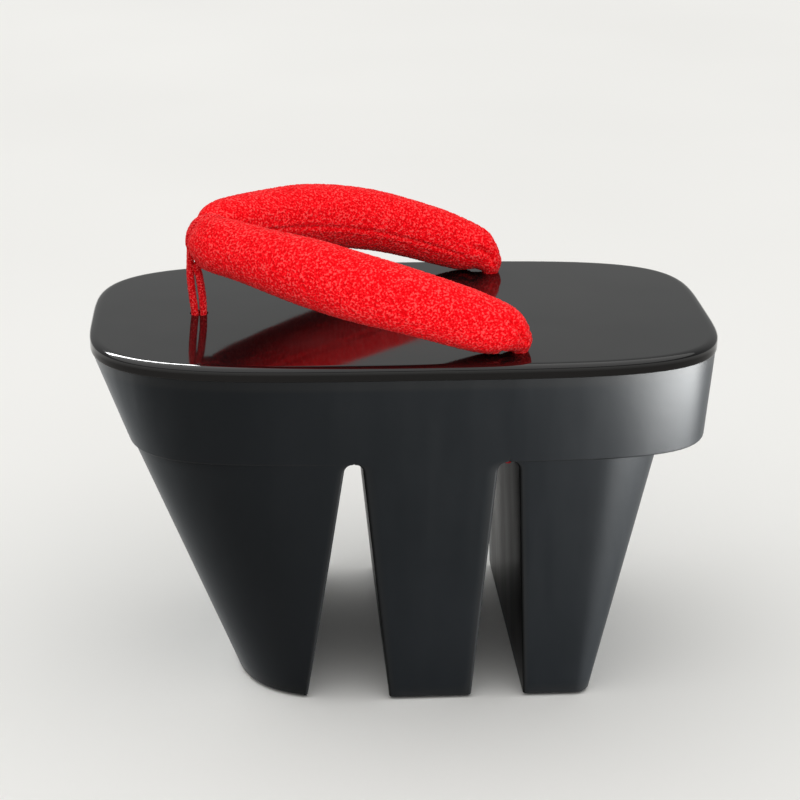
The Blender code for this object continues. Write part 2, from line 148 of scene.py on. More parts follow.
# Looks of the strap; places along an arm are shares of it, from its rear end to the toe
CAGE_SIDES = 18
CAGE_ROWS = 36
CAGE_GROW = 0.970
NEAR_TIP_GROW = 0.06
NEAR_TIP_AHEAD = 0.0018
NEAR_TIP_RANGE = (0.80, 0.97)
REAR_END_GROW = 0.13
REAR_END_RANGE = (0.04, 0.16)
TAIL_SHARES = (0.0, 0.35, 0.7, 0.93, 1.0)
TAIL_ROWS = len(TAIL_SHARES)
DENSE_STEPS = 600
STRAP_SUBDIVISIONS = 3
PUFF_PRESSURE = 600.0
PUFF_FRAMES = 20
PUFF_CAP = 0.0012

# Relief of the strap: angles in degrees round an arm, from its inner side upwards
SEAM_LINE = -8.0
SEAM_WIDE = 3.0
SEAM_DEEP = 0.00045
SEAM_BANK_OFF = 8.0
SEAM_BANK_WIDE = 5.0
SEAM_BANK_HIGH = 0.00022
PLEATS = (
    # angle  wide  deep
    (28, 8, 0.0017),
    (95, 8, 0.0008),
    (155, 8, 0.0019),
    (236, 7, 0.0012),
    (304, 7, 0.0012),
)
PLEAT_WANDER = 8
TIP_PLEATS = 5
TIP_PLEAT_DEEP = 0.0006
NAP_SIZE = 0.0013
NAP_HEIGHT = 0.00034
NAP_SEED = Vector((13.7, 4.1, 8.3))
FUZZ_SIZE = 0.00055
FUZZ_HEIGHT = 0.00008
NOISE_SEED = 7

# Looks of the toe loop, across and along its strip
LOOP_LEG_APART = 0.0018
LOOP_CLOTH = 0.0031
LOOP_DENSE_STEPS = 900
LOOP_RING_APART = 0.0004
LOOP_SIDES = 56
LOOP_SQUARE = 2.7
LOOP_CREASE = 0.16
LOOP_NAP_SHARE = 0.75
LOOP_NAP_HEIGHT = 0.00016
LOOP_NAP_SEED = Vector((3.1, 9.7, 5.5))

# Looks of the knots
TOE_KNOT_CORD = 0.0022
REAR_KNOT_CORD = 0.0012
REAR_KNOT_LONG = 0.0066
KNOT_STEPS = 220
CORD_SIDES = 20
CORD_STRANDS = 3
CORD_TWISTS = 12

# Colours of the cloth: painted shade between the curls, the cloth's red on them and a painted pink
# highlight on their tips
PLUSH_TONES = ((0.74, 0.001, 0.004), (0.96, 0.006, 0.012), (1.0, 0.072, 0.070))
CLOTH_TONES = ((0.62, 0.002, 0.006), (0.92, 0.010, 0.018), (1.0, 0.10, 0.095))

# Camera of the photo, and half the floor's width
CAMERA_EYE = (0.05928486, 0.793315, 0.41485196)
CAMERA_RIGHT = (-0.99746, 0.07063, 0.00945)
CAMERA_UP = (-0.01676, -0.36141, 0.93226)
CAMERA_LENS = 92.7
CAMERA_SENSOR = 36.0
FLOOR_HALF = 30.0


def mix(low, high, share):
    return low + (high - low) * share


def smoothstep(low, high, value):
    t = np.clip((value - low) / (high - low), 0.0, 1.0)
    return t * t * (3 - 2 * t)


# Mesh helpers

def new_piece(name, verts, faces, mat, smooth_angle=SHARP_ANGLE):
    mesh = bpy.data.meshes.new(name)
    mesh.from_pydata([tuple(v) for v in verts], [], faces)
    piece = bpy.data.objects.new(name, mesh)
    bpy.context.scene.collection.objects.link(piece)
    mesh.materials.append(mat)
    mesh.shade_smooth()
    mesh.set_sharp_from_angle(angle=radians(smooth_angle))
    return piece


def tidy_mesh(mesh, distance=MERGE):
    """Turns the faces outwards, after merging points that lie within the distance, if any."""
    bm = bmesh.new()
    bm.from_mesh(mesh)
    if distance:
        bmesh.ops.remove_doubles(bm, verts=bm.verts, dist=distance)
        bmesh.ops.dissolve_degenerate(bm, edges=bm.edges, dist=distance / 10)
    bmesh.ops.recalc_face_normals(bm, faces=bm.faces)
    bm.to_mesh(mesh)
    bm.free()


class Skin:
    """Gathers rings, strips and caps into one vertex and face list."""

    def __init__(self):
        self.verts = []
        self.faces = []

    def add(self, points):
        start = len(self.verts)
        self.verts.extend(tuple(p) for p in points)
        return list(range(start, start + len(points)))

    def loft(self, rings, closed=True):
        rows = [self.add(ring) for ring in rings]
        for low, high in zip(rows, rows[1:]):
            count = len(low)
            for i in range(count if closed else count - 1):
                j = (i + 1) % count
                self.faces.append((low[i], low[j], high[j], high[i]))
        return rows

    def cap(self, row):
        self.faces.append(tuple(row))


def cylinder_cutter(radius, start, end, sides=64):
    start, end = Vector(start), Vector(end)
    way = end - start
    bm = bmesh.new()
    bmesh.ops.create_cone(bm, cap_ends=True, segments=sides, radius1=radius,
                          radius2=radius, depth=way.length)
    turn = way.to_track_quat("Z", "Y").to_matrix().to_4x4()
    bm.transform(Matrix.Translation((start + end) / 2) @ turn)
    mesh = bpy.data.meshes.new("bore")
    bm.to_mesh(mesh)
    bm.free()
    cutter = bpy.data.objects.new("bore", mesh)
    bpy.context.scene.collection.objects.link(cutter)
    return cutter


def cut_bores(piece, cutters):
    """Cuts the bores with the cutters, which are then removed."""
    for cutter in cutters:
        step = piece.modifiers.new("bore", "BOOLEAN")
        step.operation = "DIFFERENCE"
        step.solver = "EXACT"
        step.object = cutter
    apply_modifiers(piece)
    piece.data.set_sharp_from_angle(angle=radians(SHARP_ANGLE))
    for cutter in cutters:
        bpy.data.objects.remove(cutter, do_unlink=True)


def apply_modifiers(piece):
    bpy.context.view_layer.update()
    graph = bpy.context.evaluated_depsgraph_get()
    mesh = bpy.data.meshes.new_from_object(piece.evaluated_get(graph))
    piece.modifiers.clear()
    old = piece.data
    piece.data = mesh
    bpy.data.meshes.remove(old)
    mesh.name = piece.name


def coordinates(mesh):
    flat = np.empty(len(mesh.vertices) * 3)
    mesh.vertices.foreach_get("co", flat)
    return flat.reshape(-1, 3)


def normals(mesh):
    flat = np.empty(len(mesh.vertices) * 3)
    mesh.vertices.foreach_get("normal", flat)
    return flat.reshape(-1, 3)


def put_coordinates(mesh, points):
    mesh.vertices.foreach_set("co", np.asarray(points, float).ravel())
    mesh.update()


def take_attribute(mesh, name):
    """The attribute's values; the mesh doesn't keep them."""
    layer = mesh.attributes[name]
    values = np.empty(len(mesh.vertices))
    layer.data.foreach_get("value", values)
    mesh.attributes.remove(layer)
    return values


def put_attribute(mesh, name, values):
    layer = mesh.attributes.new(name, "FLOAT", "POINT")
    layer.data.foreach_set("value", np.asarray(values, float))


# Materials

def add_node(mat, kind, place=(0, 0), **settings):
    node = mat.node_tree.nodes.new(kind)
    node.location = place
    for key, value in settings.items():
        setattr(node, key, value)
    return node


def wire(mat, source, target):
    mat.node_tree.links.new(source, target)


def principled(name, color, roughness, **sockets):
    mat = bpy.data.materials.new(name)
    mat.use_nodes = True
    shader = mat.node_tree.nodes["Principled BSDF"]
    shader.inputs["Base Color"].default_value = (*color, 1.0)
    shader.inputs["Roughness"].default_value = roughness
    for key, value in sockets.items():
        shader.inputs[key.replace("_", " ")].default_value = value
    return mat, shader


def object_place(mat, stretch=(1, 1, 1)):
    place = add_node(mat, "ShaderNodeTexCoord", (-1400, 0))
    scale = add_node(mat, "ShaderNodeMapping", (-1200, 0))
    scale.inputs["Scale"].default_value = stretch
    wire(mat, place.outputs["Object"], scale.inputs["Vector"])
    return scale.outputs["Vector"]


def noise_node(mat, place, scale, detail=4.0, rough=0.5, distortion=0.0):
    node = add_node(mat, "ShaderNodeTexNoise", (-950, 0))
    node.inputs["Scale"].default_value = scale
    node.inputs["Detail"].default_value = detail
    node.inputs["Roughness"].default_value = rough
    node.inputs["Distortion"].default_value = distortion
    wire(mat, place, node.inputs["Vector"])
    return node.outputs["Fac"]


def ramp(mat, value, stops):
    node = add_node(mat, "ShaderNodeValToRGB", (-650, 0))
    ring = node.color_ramp
    while len(ring.elements) < len(stops):
        ring.elements.new(0.5)
    for element, (place, color) in zip(ring.elements, stops):
        element.position = place
        element.color = (*color, 1.0)
    wire(mat, value, node.inputs["Fac"])
    return node.outputs["Color"]


def ranged(mat, value, low, high, new_low, new_high):
    node = add_node(mat, "ShaderNodeMapRange", (-650, 200))
    for key, number in (("From Min", low), ("From Max", high), ("To Min", new_low),
                        ("To Max", new_high)):
        node.inputs[key].default_value = number
    wire(mat, value, node.inputs["Value"])
    return node.outputs["Result"]


def blend_color(mat, share, first, second, mode="MIX"):
    node = add_node(mat, "ShaderNodeMix", (-350, 0), data_type="RGBA", blend_type=mode)
    for socket, value in ((node.inputs[0], share), (node.inputs[6], first),
                          (node.inputs[7], second)):
        if isinstance(value, bpy.types.NodeSocket):
            wire(mat, value, socket)
        elif isinstance(value, tuple):
            socket.default_value = (*value, 1.0)
        else:
            socket.default_value = value
    return node.outputs[2]


def bump(mat, shader, steps):
    """A chain of bumps; each step is (height socket, strength, distance)."""
    last = None
    for height, strength, distance in steps:
        node = add_node(mat, "ShaderNodeBump", (-250, -300))
        node.inputs["Strength"].default_value = strength
        node.inputs["Distance"].default_value = distance
        wire(mat, height, node.inputs["Height"])
        if last:
            wire(mat, last, node.inputs["Normal"])
        last = node.outputs["Normal"]
    wire(mat, last, shader.inputs["Normal"])


def attribute(mat, name):
    return add_node(mat, "ShaderNodeAttribute", (-1200, -300), attribute_name=name).outputs["Fac"]


def deck_material():
    """High-gloss black lacquer, faintly wavy, with fine dust and hairline scuffs."""
    mat, shader = principled("gloss_lacquer", (0.004, 0.004, 0.0045), 0.07, IOR=1.5,
                             Specular_IOR_Level=0.5)
    place = object_place(mat)
    smudge = noise_node(mat, place, 22, 5, 0.6, 0.6)
    along = object_place(mat, (18, 420, 420))
    scuff = noise_node(mat, along, 1.0, 3, 0.7)
    height = add_node(mat, "ShaderNodeSeparateXYZ", (-950, 300))
    wire(mat, place, height.inputs[0])
    edge = ranged(mat, height.outputs["Z"], DECK_TOP - 0.0030, DECK_TOP - 0.0018, 1.0, 0.0)
    tone = ramp(mat, smudge, ((0.30, (0.0030, 0.0030, 0.0034)), (0.75, (0.0060, 0.0056, 0.0056))))
    wire(mat, blend_color(mat, edge, tone, (0.0070, 0.0060, 0.0056)), shader.inputs["Base Color"])
    wire(mat, ranged(mat, edge, 0.0, 1.0, 0.5, 0.16), shader.inputs["Specular IOR Level"])
    wire(mat, ranged(mat, smudge, 0.35, 0.75, 0.045, 0.11), shader.inputs["Roughness"])
    swell = noise_node(mat, place, 16, 2, 0.4)
    bump(mat, shader, ((swell, 0.5, 0.0006), (scuff, 0.05, 0.00005)))
    return mat


def body_material():
    """Satin black lacquer over carved wood, with orange peel and brush marks."""
    mat, shader = principled("satin_lacquer", (0.0010, 0.0012, 0.0015), 0.38, IOR=1.5,
                             Specular_IOR_Level=0.10)
    place = object_place(mat)
    broad = noise_node(mat, place, 14, 5, 0.6)
    brushed = noise_node(mat, object_place(mat, (60, 60, 9)), 1.0, 5, 0.6, 0.4)
    tone = ramp(mat, broad, ((0.30, (0.0008, 0.0011, 0.0014)), (0.72, (0.0014, 0.0017, 0.0021))))
    worn = attribute(mat, "edge")
    wire(mat, blend_color(mat, ranged(mat, worn, 0.3, 1.0, 0.0, 0.5), tone, (0.003, 0.003, 0.003)),
         shader.inputs["Base Color"])
    wire(mat, ranged(mat, brushed, 0.3, 0.7, 0.34, 0.42), shader.inputs["Roughness"])
    peel = noise_node(mat, place, 900, 2, 0.5)
    bump(mat, shader, ((broad, 0.20, 0.0012), (brushed, 0.12, 0.00025), (peel, 0.12, 0.00006)))
    return mat


def rubber_material():
    """Black rubber with a fine moulded grain and dusty high spots."""
    mat, shader = principled("pad_grain", (0.016, 0.016, 0.016), 0.8, Specular_IOR_Level=0.3)
    place = object_place(mat)
    grain = noise_node(mat, place, 1400, 3, 0.6)
    dust = noise_node(mat, place, 90, 5, 0.65)
    wire(mat, ramp(mat, dust, ((0.40, (0.012, 0.012, 0.012)), (0.75, (0.040, 0.038, 0.036)))),
         shader.inputs["Base Color"])
    wire(mat, ranged(mat, dust, 0.3, 0.7, 0.72, 0.92), shader.inputs["Roughness"])
    bump(mat, shader, ((grain, 0.5, 0.00015),))
    return mat


def plush_material(name, tones, fine=1.0):
    """Crinkled red plush: painted shade in deep red between short curls and a painted pink
    highlight on their tips.
    """
    painted_valley_shade, main, tip = tones
    mat, shader = principled(name, main, 0.95, Specular_IOR_Level=0.06, Sheen_Weight=0.22,
                             Sheen_Roughness=0.35, Sheen_Tint=(1.0, 0.30, 0.28, 1.0))
    place = object_place(mat)
    nap = attribute(mat, "nap")
    curls = noise_node(mat, place, 1180 * fine, 0.6, 0.45, 0.35)
    fuzz = noise_node(mat, place, 2600 * fine, 3, 0.7)
    patch = noise_node(mat, place, 60, 4, 0.6)
    height = add_node(mat, "ShaderNodeMath", (-500, -200), operation="MULTIPLY_ADD")
    wire(mat, nap, height.inputs[0])
    height.inputs[1].default_value = 0.05
    wire(mat, curls, height.inputs[2])
    # Painted light: the darkest stop is painted shade between the curls and the pink tip stop is a
    # painted highlight on them; the middle stops are the cloth's own red.
    tone = ramp(mat, height.outputs[0], ((0.42, painted_valley_shade), (0.50, main), (0.57, main), (0.68, tip)))
    shade = ramp(mat, patch, ((0.30, (0.94, 0.94, 0.94)), (0.70, (1.0, 1.0, 1.0))))
    wire(mat, blend_color(mat, 1.0, tone, shade, "MULTIPLY"), shader.inputs["Base Color"])
    bump(mat, shader, ((curls, 0.75, 0.0008), (fuzz, 0.3, 0.00015)))
    return mat


def cord_material():
    """Red twisted cotton cord, with painted shade in the grooves between its strands and a painted
    highlight on their crowns.
    """
    mat, shader = principled("cord_cotton", (0.60, 0.012, 0.022), 0.85, Specular_IOR_Level=0.2,
                             Sheen_Weight=0.3, Sheen_Roughness=0.5,
                             Sheen_Tint=(1.0, 0.5, 0.5, 1.0))
    place = object_place(mat)
    strand_shade = attribute(mat, "strand_shade")
    fuzz = noise_node(mat, place, 2200, 3, 0.7)
    # Painted light: painted shade darkens the grooves between the strands and a painted highlight
    # lightens their crowns.
    wire(mat, ramp(mat, strand_shade, ((0.0, (0.20, 0.003, 0.008)), (0.5, (0.58, 0.010, 0.022)),
                                 (1.0, (0.78, 0.035, 0.050)))), shader.inputs["Base Color"])
    bump(mat, shader, ((fuzz, 0.5, 0.00015),))
    return mat


# Outlines, shared by the deck and the body

def reach(phi, toe, heel, half, toe_square, heel_square):
    """Points of the superellipse outline in the directions phi, as (n, 2)."""
    ahead = np.cos(phi) >= 0
    a = np.where(ahead, toe, heel)
    n = np.where(ahead, toe_square, heel_square)
    r = (np.abs(np.cos(phi) / a) ** n + np.abs(np.sin(phi) / half) ** n) ** (-1 / n)
    return np.stack([r * np.cos(phi), r * np.sin(phi)], -1)


def even_directions(start, end, count, toe, heel, half, toe_square, heel_square):
    """Directions that divide that stretch of the outline into even lengths."""
    dense = np.linspace(start, end, 4000)
    points = reach(dense, toe, heel, half, toe_square, heel_square)
    run = np.concatenate([[0], np.cumsum(np.linalg.norm(np.diff(points, axis=0), axis=1))])
    return np.interp(np.linspace(0, run[-1], count), run, dense)


def level(points, z):
    return np.column_stack([points, np.full(len(points), z)])


def inset_loop(points, distance):
    """The loop moved towards its inside, square to its own edges."""
    ahead = np.roll(points, -1, axis=0) - points
    behind = points - np.roll(points, 1, axis=0)
    way = ahead / np.linalg.norm(ahead, axis=1)[:, None]
    way = way + behind / np.linalg.norm(behind, axis=1)[:, None]
    way /= np.linalg.norm(way, axis=1)[:, None]
    square = np.stack([-way[:, 1], way[:, 0]], -1)
    x, y = points.T
    area = np.sum(x * np.roll(y, -1) - y * np.roll(x, -1))
    return points + square * distance * (1 if area > 0 else -1)


# Deck

def make_deck(mat):
    half = DECK_LENGTH / 2
    size = (half, half, DECK_WIDTH / 2, DECK_TOE_SQUARE, DECK_HEEL_SQUARE)
    phi = even_directions(0, 2 * pi, OUTLINE_STEPS + 1, *size)[:-1]
    edge = reach(phi, *size)
    bottom = DECK_TOP - DECK_THICK
    steps = [(inset, bottom) for inset in UNDERSIDE_RINGS]
    for k in range(EDGE_STEPS + 1):
        turn = pi / 2 * k / EDGE_STEPS
        steps.append((EDGE_ROUND * (1 - sin(turn)), bottom + EDGE_ROUND * (1 - cos(turn))))
    for k in range(1, WALL_STEPS):
        steps.append((0.0, mix(bottom + EDGE_ROUND, DECK_TOP - RIM_HIGH, k / WALL_STEPS)))
    for k in range(RIM_STEPS + 1):
        turn = pi / 2 * k / RIM_STEPS
        steps.append((RIM_WIDE * (1 - cos(turn)), DECK_TOP - RIM_HIGH * (1 - sin(turn))))
    steps += [(inset, DECK_TOP) for inset in TOP_RINGS]
    skin = Skin()
    rows = skin.loft([level(inset_loop(edge, inset), z) for inset, z in steps])
    skin.cap(rows[0])
    skin.cap(rows[-1])
    piece = new_piece("deck", skin.verts, skin.faces, mat)
    tidy_mesh(piece.data)
    cut_bores(piece, bores(TOE_MOUTH_RADIUS))
    return piece


def bores(toe_radius=TOE_BORE_RADIUS):
    """Cutters of the upright toe bore and of the two slanting rear bores."""
    made = [cylinder_cutter(toe_radius, (TOE_HOLE_X, 0, KNOT_RECESS_Z),
                            (TOE_HOLE_X, 0, DECK_TOP + BORE_OVER))]
    way = Vector((REAR_GAP_X - REAR_HOLE_X, 0, TOOTH_TOP - DECK_TOP))
    beyond = way * (STRAP_RADIUS / way.length)
    for y in (REAR_HOLE_Y, -REAR_HOLE_Y):
        mouth = Vector((REAR_HOLE_X, y, DECK_TOP))
        made.append(cylinder_cutter(REAR_BORE_RADIUS, mouth - beyond, mouth + way + beyond))
    return made


# Body: block and three teeth, carved from one piece

def body_half(z):
    return mix(FLOOR_WIDTH / 2, DECK_WIDTH / 2 - BODY_INSET, z / BLOCK_TOP)


def body_size(z):
    """Toe, heel, half width and squareness of the block's outline at a level."""
    share = np.clip((BLOCK_TOP - z) / BLOCK_HEIGHT, 0, 1)
    toe = DECK_LENGTH / 2 - BODY_INSET - BLOCK_TOE_SLOPE * (BLOCK_TOP - z)
    heel = DECK_LENGTH / 2 - BODY_INSET - BLOCK_HEEL_SLOPE * (BLOCK_TOP - z)
    return (toe, heel, body_half(z), mix(DECK_TOE_SQUARE, BLOCK_TOE_SQUARE, share),
            mix(DECK_HEEL_SQUARE, BLOCK_HEEL_SQUARE, share))


def depth_share(z):
    """0 at the block's underside and 1 at the floor."""
    return (BLOCK_BOTTOM - z) / BLOCK_BOTTOM


def roof_radius(gap):
    return (gap[0] - gap[1]) / 2


def flare(gap, z):
    """Round roof of a gap: how far each tooth swells into it near the block."""
    radius = roof_radius(gap)
    depth = BLOCK_BOTTOM - z
    if depth >= radius:
        return 0.0
    return radius - np.sqrt(max(radius ** 2 - (radius - depth) ** 2, 0.0))


def quarter(cx, cy, rx, ry, start, end, steps):
    turn = np.radians(np.linspace(start, end, steps + 1))
    return np.stack([cx + rx * np.cos(turn), cy + ry * np.sin(turn)], -1)


def mirrored(points):
    """The same stretch on the other side, in the opposite order."""
    return (points * np.array([1, -1]))[::-1]


def straight(a, b, steps):
    share = np.linspace(0, 1, steps + 1)[:, None]
    return np.asarray(a) + (np.asarray(b) - np.asarray(a)) * share


def toe_mask(count):
    """0 at the two sides of the toe's curve and 1 round the toe."""
    place = np.abs(np.linspace(-1, 1, count))
    return 1 - smoothstep(*TOE_LIP_RANGE, place)


TOE_FIRST = np.arctan2(body_half(BLOCK_BOTTOM), FRONT_GAP_X + TOOTH_EDGE)
TOE_PHI = even_directions(TOE_FIRST, -TOE_FIRST, TOE_STEPS + 1, *body_size(BLOCK_BOTTOM))


def toe_curve(z, square, corner_x, corner_half):
    """The toe's curve from the left side to the right, between the corners at corner_x."""
    toe, heel, half = body_size(z)[:3]
    first = np.arctan2(half, corner_x)
    points = reach(TOE_PHI * first / TOE_FIRST, toe, heel, half, square, square)
    points[0] = (corner_x, corner_half)
    points[-1] = (corner_x, -corner_half)
    return points


def front_tooth_loop(z):
    share = depth_share(z)
    rear = mix(*FRONT_TOOTH_REAR, share) - flare(FRONT_GAP, z)
    square = mix(FRONT_TOOTH_SQUARE, FLOOR_TOE_SQUARE, share)
    edge = TOOTH_EDGE
    half = body_half(z) * (1 - ((rear + edge) / body_size(z)[0]) ** square) ** (1 / square)
    curve = toe_curve(z, square, rear + edge, half)
    curve[:, 0] -= toe_mask(len(curve)) * LIP_STEP * np.sign(curve[:, 0])
    corner = quarter(rear + edge, half - edge, edge, edge, 180, 90, CORNER_STEPS)
    face = straight((rear, edge - half), (rear, half - edge), FACE_STEPS)
    return np.vstack([curve[:-1], mirrored(corner)[:-1], face[:-1], corner[:-1]])


def middle_edges(z):
    """Depth of the middle tooth's corner roundings along Y, at the front and at the rear."""
    inset = mix(REAR_SIDE_INSET, 0.0, depth_share(z))
    return TOOTH_EDGE, TOOTH_EDGE + inset


def middle_stretches(z):
    share = depth_share(z)
    half = body_half(z)
    front = mix(*MIDDLE_TOOTH_FRONT, share) + flare(FRONT_GAP, z)
    rear = mix(*MIDDLE_TOOTH_REAR, share) - flare(REAR_GAP, z)
    e = TOOTH_EDGE
    ahead, behind = middle_edges(z)
    return dict(
        front_face=straight((front, ahead - half), (front, half - ahead), FACE_STEPS),
        front_corner=quarter(front - e, half - ahead, e, ahead, 0, 90, CORNER_STEPS),
        side=straight((front - e, half), (rear + e, half), SIDE_STEPS),
        rear_corner=quarter(rear + e, half - behind, e, behind, 90, 180, CORNER_STEPS),
        rear_face=straight((rear, half - behind), (rear, behind - half), FACE_STEPS))


def middle_tooth_loop(z):
    s = middle_stretches(z)
    left = [s["front_corner"][:-1], s["side"][:-1], s["rear_corner"][:-1]]
    right = [mirrored(s["rear_corner"])[:-1], mirrored(s["side"])[:-1],
             mirrored(s["front_corner"])[:-1]]
    return np.vstack([s["front_face"][:-1], *left, s["rear_face"][:-1], *right])


def rear_stretch(z):
    """Outline of the rear tooth without its front face, from the left corner to the right."""
    share = depth_share(z)
    half = body_half(z) - mix(REAR_SIDE_INSET, 0.0, share)
    front = mix(*REAR_TOOTH_FRONT, share) + flare(REAR_GAP, z)
    rear = mix(*REAR_TOOTH_REAR, share)
    big = mix(*REAR_CORNER, share)
    e = TOOTH_EDGE
    left = np.vstack([
        quarter(front - e, half - e, e, e, 0, 90, CORNER_STEPS)[:-1],
        straight((front - e, half), (rear + big, half), SIDE_STEPS)[:-1],
        quarter(rear + big, half - big, big, big, 90, 180, HEEL_CORNER_STEPS)[:-1]])
    face = straight((rear, half - big), (rear, big - half), FACE_STEPS)
    return np.vstack([left, face, mirrored(left)])


def rear_tooth_loop(z):
    stretch = rear_stretch(z)
    face = straight(stretch[-1], stretch[0], FACE_STEPS)
    return np.vstack([stretch[:-1], face[:-1]])


def heel_curve(z):
    """The block's outline beside and behind the rear tooth, point for point with its stretch."""
    toe, heel, half, toe_square, heel_square = body_size(z)
    count = len(rear_stretch(BLOCK_BOTTOM))
    x = REAR_GAP_X - TOOTH_EDGE
    start = np.arctan2(half, x)
    inner = count - 2 * CORNER_STEPS
    phi = even_directions(start, 2 * pi - start, inner, toe, heel, half, toe_square, heel_square)
    curve = reach(phi, toe, heel, half, toe_square, heel_square)
    curve[0], curve[-1] = (x, half), (x, -half)
    behind = middle_edges(BLOCK_BOTTOM)[1]
    corner = quarter(x, half - behind, TOOTH_EDGE, behind, 0, 90, CORNER_STEPS)
    return np.vstack([corner[:-1], curve, mirrored(corner)[1:]])


def block_loop(rise):
    """The block's outline at a height over its underside, with its notches and soft lip."""
    z = BLOCK_BOTTOM + rise
    half = body_half(z)
    size = body_size(z)
    notch = max(1 - rise / TOOTH_EDGE, 0.0)
    notch = 1 - np.sqrt(1 - notch ** 2)
    lip = max(1 - rise / LIP_ROUND, 0.0)
    lip = LIP_ROUND * (1 - np.sqrt(1 - lip ** 2))
    curve = toe_curve(z, size[3], FRONT_GAP_X + TOOTH_EDGE, half)
    pull = toe_mask(len(curve))
    heel = heel_curve(z)
    heel_pull = np.ones(len(heel))
    heel_pull[:CORNER_STEPS + 1] = np.linspace(0, 1, CORNER_STEPS + 1)
    heel_pull[-CORNER_STEPS - 1:] = np.linspace(1, 0, CORNER_STEPS + 1)
    m = middle_stretches(BLOCK_BOTTOM)
    edge = TOOTH_EDGE
    front_corner = quarter(FRONT_GAP_X + edge, half - edge, edge, edge, 90, 180, CORNER_STEPS)

    def filled(points):
        """Moves notch points out to the side as the notch closes."""
        base = np.array(points)
        gap = body_half(BLOCK_BOTTOM) - np.abs(base[:, 1])
        base[:, 1] = np.sign(base[:, 1]) * (half - gap * notch)
        return base

    low = body_half(BLOCK_BOTTOM)
    front_corner[:, 1] += low - half
    left = [filled(front_corner)[:-1], filled(m["front_corner"])[:-1],
            filled(m["side"])[:-1], filled(m["rear_corner"])[:-1]]
    right = [filled(mirrored(m["rear_corner"]))[:-1], filled(mirrored(m["side"]))[:-1],
             filled(mirrored(m["front_corner"]))[:-1], filled(mirrored(front_corner))[:-1]]
    heel[:CORNER_STEPS, 1] += low - half
    heel[-CORNER_STEPS:, 1] -= low - half
    heel[:CORNER_STEPS] = filled(heel[:CORNER_STEPS])
    heel[-CORNER_STEPS:] = filled(heel[-CORNER_STEPS:])
    loop = np.vstack([curve[::-1][:-1], *left, heel[:-1], *right])
    pulls = np.concatenate([pull[:-1], np.zeros(sum(len(part) for part in left)),
                            heel_pull[:-1], np.zeros(sum(len(part) for part in right))])
    moved = inset_loop(loop, lip)
    return loop + (moved - loop) * pulls[:, None]


def make_body(mat):
    skin = Skin()
    straight_levels = list(np.linspace(PAD_THICK + PAD_CLEAR, BLOCK_BOTTOM - ROOF_DROP,
                                       TOOTH_LEVELS))
    turns = np.linspace(0, pi / 2, ROOF_LEVELS)
    for loop, gap in ((front_tooth_loop, FRONT_GAP), (middle_tooth_loop, REAR_GAP),
                      (rear_tooth_loop, REAR_GAP)):
        arc_levels = [BLOCK_BOTTOM - roof_radius(gap) * (1 - np.sin(t)) for t in turns]
        foot = loop(straight_levels[0])
        rings = [level(inset_loop(foot, FOOT_ROUND), straight_levels[0])]
        for k in range(1, FOOT_STEPS + 1):
            turn = pi / 2 * k / FOOT_STEPS
            z = straight_levels[0] + FOOT_ROUND * (1 - cos(turn))
            rings.append(level(inset_loop(loop(z), FOOT_ROUND * (1 - sin(turn))), z))
        rings += [level(loop(z), z) for z in straight_levels[1:] + arc_levels]
        rows = skin.loft(rings)
        skin.cap(rows[0])
    top = BLOCK_TOP + GAP - DECK_CLEAR - BLOCK_BOTTOM
    rises = [*LIP_RISES, *np.linspace(TOOTH_EDGE, top, BLOCK_LEVELS + 1)[1:]]
    rows = skin.loft([level(block_loop(rise), BLOCK_BOTTOM + rise) for rise in rises])
    skin.cap(rows[-1])
    lowest = block_loop(0.0)
    toe_lip = lowest[:TOE_STEPS + 1]
    tooth = front_tooth_loop(BLOCK_BOTTOM)[:TOE_STEPS + 1][::-1]
    skin.loft([level(tooth, BLOCK_BOTTOM), level(toe_lip, BLOCK_BOTTOM)], closed=False)
    stretch = rear_stretch(BLOCK_BOTTOM)
    first = TOE_STEPS + 3 * CORNER_STEPS + SIDE_STEPS
    heel_lip = lowest[first:first + len(stretch)]
    skin.loft([level(stretch, BLOCK_BOTTOM), level(heel_lip, BLOCK_BOTTOM)], closed=False)
    piece = new_piece("body", skin.verts, skin.faces, mat)
    tidy_mesh(piece.data)
    recess = cylinder_cutter(KNOT_RECESS_RADIUS,
                             (TOE_HOLE_X - KNOT_RECESS_BEHIND, 0, KNOT_RECESS_Z),
                             (DECK_LENGTH / 2, 0, KNOT_RECESS_Z), 96)
    cut_bores(piece, bores() + [recess])
    put_attribute(piece.data, "edge", edge_wear(piece.data))
    return piece


def edge_wear(mesh):
    """1 on the rounded edges and 0 on the faces, from how much the normals turn."""
    turn = np.zeros(len(mesh.vertices))
    facing = normals(mesh)
    places = coordinates(mesh)
    for edge in mesh.edges:
        a, b = edge.vertices
        length = np.linalg.norm(places[a] - places[b])
        if length > 1e-6:
            bend = 1 - float(facing[a] @ facing[b])
            share = min(bend / length / WEAR_BEND, 1.0)
            turn[a] = max(turn[a], share)
            turn[b] = max(turn[b], share)
    return turn


# Strap

def smooth_row(rows, place):
    """The row at a place between the whole numbers, on a curve through all rows."""
    k = min(int(place), len(rows) - 2)
    t = place - k
    a, b, c, d = rows[max(k - 1, 0)], rows[k], rows[k + 1], rows[min(k + 2, len(rows) - 1)]
    return b + (c - a) * t / 2 + (2 * a - 5 * b + 4 * c - d) * t * t / 2 + (
        3 * b - a - 3 * c + d) * t ** 3 / 2


def smooth_line(rows, steps):
    """The rows joined by a smooth line, and how far along it each of its points lies."""
    dense = np.array([smooth_row(rows, p) for p in np.linspace(0, len(rows) - 1, steps)])
    ways = np.linalg.norm(np.diff(dense[:, :3], axis=0), axis=1)
    return dense, np.concatenate([[0], np.cumsum(ways)])


